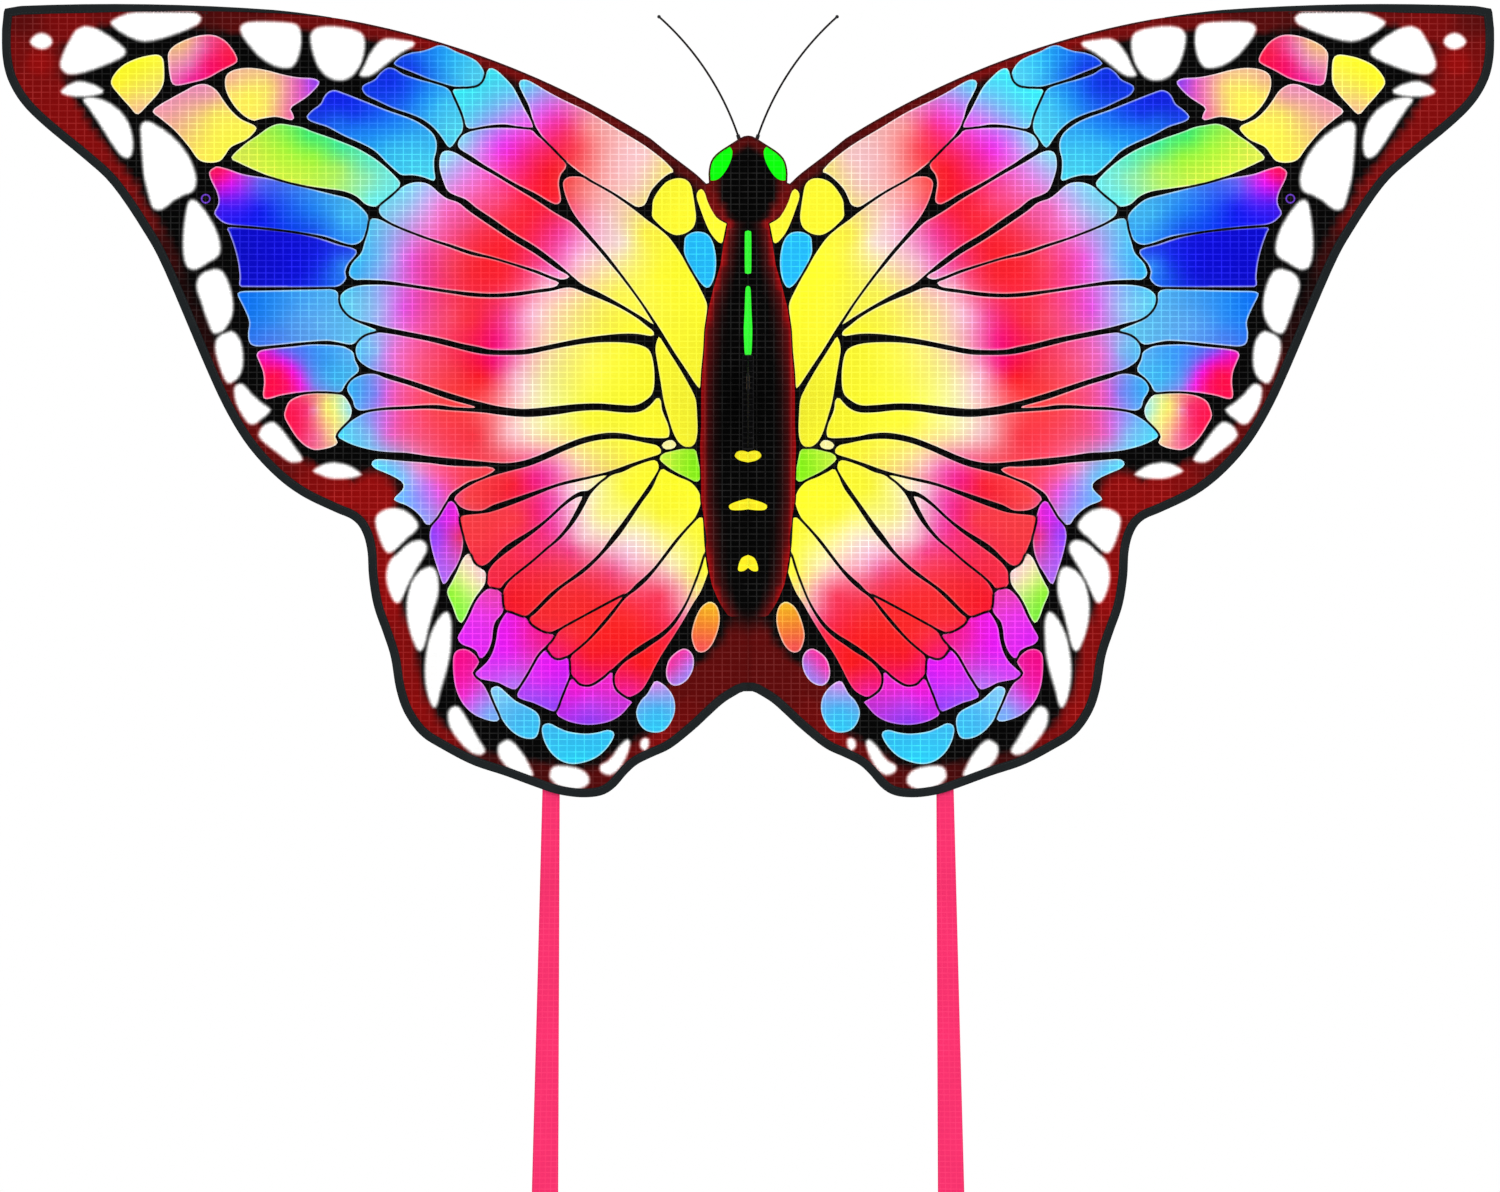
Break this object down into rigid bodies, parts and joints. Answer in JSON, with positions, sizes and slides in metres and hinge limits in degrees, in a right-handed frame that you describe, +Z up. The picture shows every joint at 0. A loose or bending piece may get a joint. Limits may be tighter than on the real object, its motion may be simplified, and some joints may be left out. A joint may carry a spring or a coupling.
{
  "type": "delta kite",
  "caption": "Butterfly-shaped delta kite with a folding fibreglass frame, a keel with a tow eyelet, two antennae and ribbon tails.",
  "frame": {"origin": "centre of the tow eyelet's hole, on the keel in front of the sail", "axes": "+Z up towards the kite's nose, -Y forward, the way the printed face looks, +X along the eyelet's hole, to the right as seen from the front"},
  "size_m": [1.403, 0.1, 1.5321],
  "materials": {
    "sail": "printed ripstop nylon, butterfly pattern",
    "binding": "matt woven tape, stitched",
    "webbing": "matt ribbed webbing",
    "sleeve": "ripstop nylon, stitched",
    "keel": "two plies of black ripstop nylon",
    "ribbon": "thin hot pink ripstop ribbon",
    "rod": "pultruded fibreglass, satin black",
    "antenna": "thin black fibreglass",
    "moulded": "black moulded nylon, fine grain",
    "vinyl": "soft black vinyl",
    "steel": "bright steel pin",
    "brass": "rolled brass eyelet"
  },
  "bodies": {
    "spine": {"centre_strip": "sail", "spine_rod": "rod", "spine_sleeve_upper": "sleeve", "spine_sleeve_lower": "sleeve", "spine_end_cap": "vinyl", "nose_fitting": "moulded", "nose_strap": "webbing", "tail_pocket": "webbing", "hub": "moulded", "hinge_pins": "steel"},
    "keel": {"keel": "keel", "keel_binding": "binding", "tow_patches": "webbing", "tow_eyelet": "brass"},
    "left_wing": {"left_sail": "sail", "left_binding": "binding", "left_spar_sleeve_inner": "sleeve", "left_spar_sleeve_outer": "sleeve", "left_spar_inner": "rod", "left_spar_outer": "rod", "left_spar_caps": "vinyl", "left_tip_pocket": "webbing", "left_connector": "moulded", "left_upper_strut": "rod", "left_upper_eye": "moulded", "left_strut_keepers": "webbing", "left_lower_strut": "rod", "left_lower_eye": "moulded", "left_lower_cap": "vinyl", "left_lobe_pocket": "webbing", "left_tail_patch": "webbing", "left_tail_stud": "moulded"},
    "left_tail": {"left_tail_ribbon": "ribbon"},
    "left_antenna": {"left_antenna": "antenna", "left_antenna_root": "vinyl", "left_antenna_tip": "antenna"},
    "right_wing": {"right_sail": "sail", "right_binding": "binding", "right_spar_sleeve_inner": "sleeve", "right_spar_sleeve_outer": "sleeve", "right_spar_inner": "rod", "right_spar_outer": "rod", "right_spar_caps": "vinyl", "right_tip_pocket": "webbing", "right_connector": "moulded", "right_upper_strut": "rod", "right_upper_eye": "moulded", "right_strut_keepers": "webbing", "right_lower_strut": "rod", "right_lower_eye": "moulded", "right_lower_cap": "vinyl", "right_lobe_pocket": "webbing", "right_tail_patch": "webbing", "right_tail_stud": "moulded"},
    "right_tail": {"right_tail_ribbon": "ribbon"},
    "right_antenna": {"right_antenna": "antenna", "right_antenna_root": "vinyl", "right_antenna_tip": "antenna"}
  },
  "joints": [
    {"name": "keel_swing", "type": "hinge", "parent": "spine", "child": "keel", "pos_m": [0, 0.0784, 0], "axis": [0, 0, 1], "range_deg": [-75, 75]},
    {"name": "left_wing_fold", "type": "hinge", "parent": "spine", "child": "left_wing", "pos_m": [-0.01, 0.0836, -0.126], "axis": [0, 0, -1], "range_deg": [0, 80]},
    {"name": "left_tail_swing", "type": "hinge", "parent": "left_wing", "child": "left_tail", "pos_m": [-0.185, 0.0822, -0.374], "axis": [0, 1, 0], "range_deg": [-10, 60]},
    {"name": "left_antenna_flex", "type": "hinge", "parent": "spine", "child": "left_antenna", "pos_m": [-0.0065, 0.0836, 0.2251], "axis": [1, 0, 0], "range_deg": [-25, 8], "stiffness_Nm_per_rad": 0.05},
    {"name": "right_wing_fold", "type": "hinge", "parent": "spine", "child": "right_wing", "pos_m": [0.01, 0.0836, -0.126], "axis": [0, 0, 1], "range_deg": [0, 80]},
    {"name": "right_tail_swing", "type": "hinge", "parent": "right_wing", "child": "right_tail", "pos_m": [0.185, 0.0822, -0.374], "axis": [0, -1, 0], "range_deg": [-10, 60]},
    {"name": "right_antenna_flex", "type": "hinge", "parent": "spine", "child": "right_antenna", "pos_m": [0.0065, 0.0836, 0.2251], "axis": [1, 0, 0], "range_deg": [-25, 8], "stiffness_Nm_per_rad": 0.05}
  ]
}
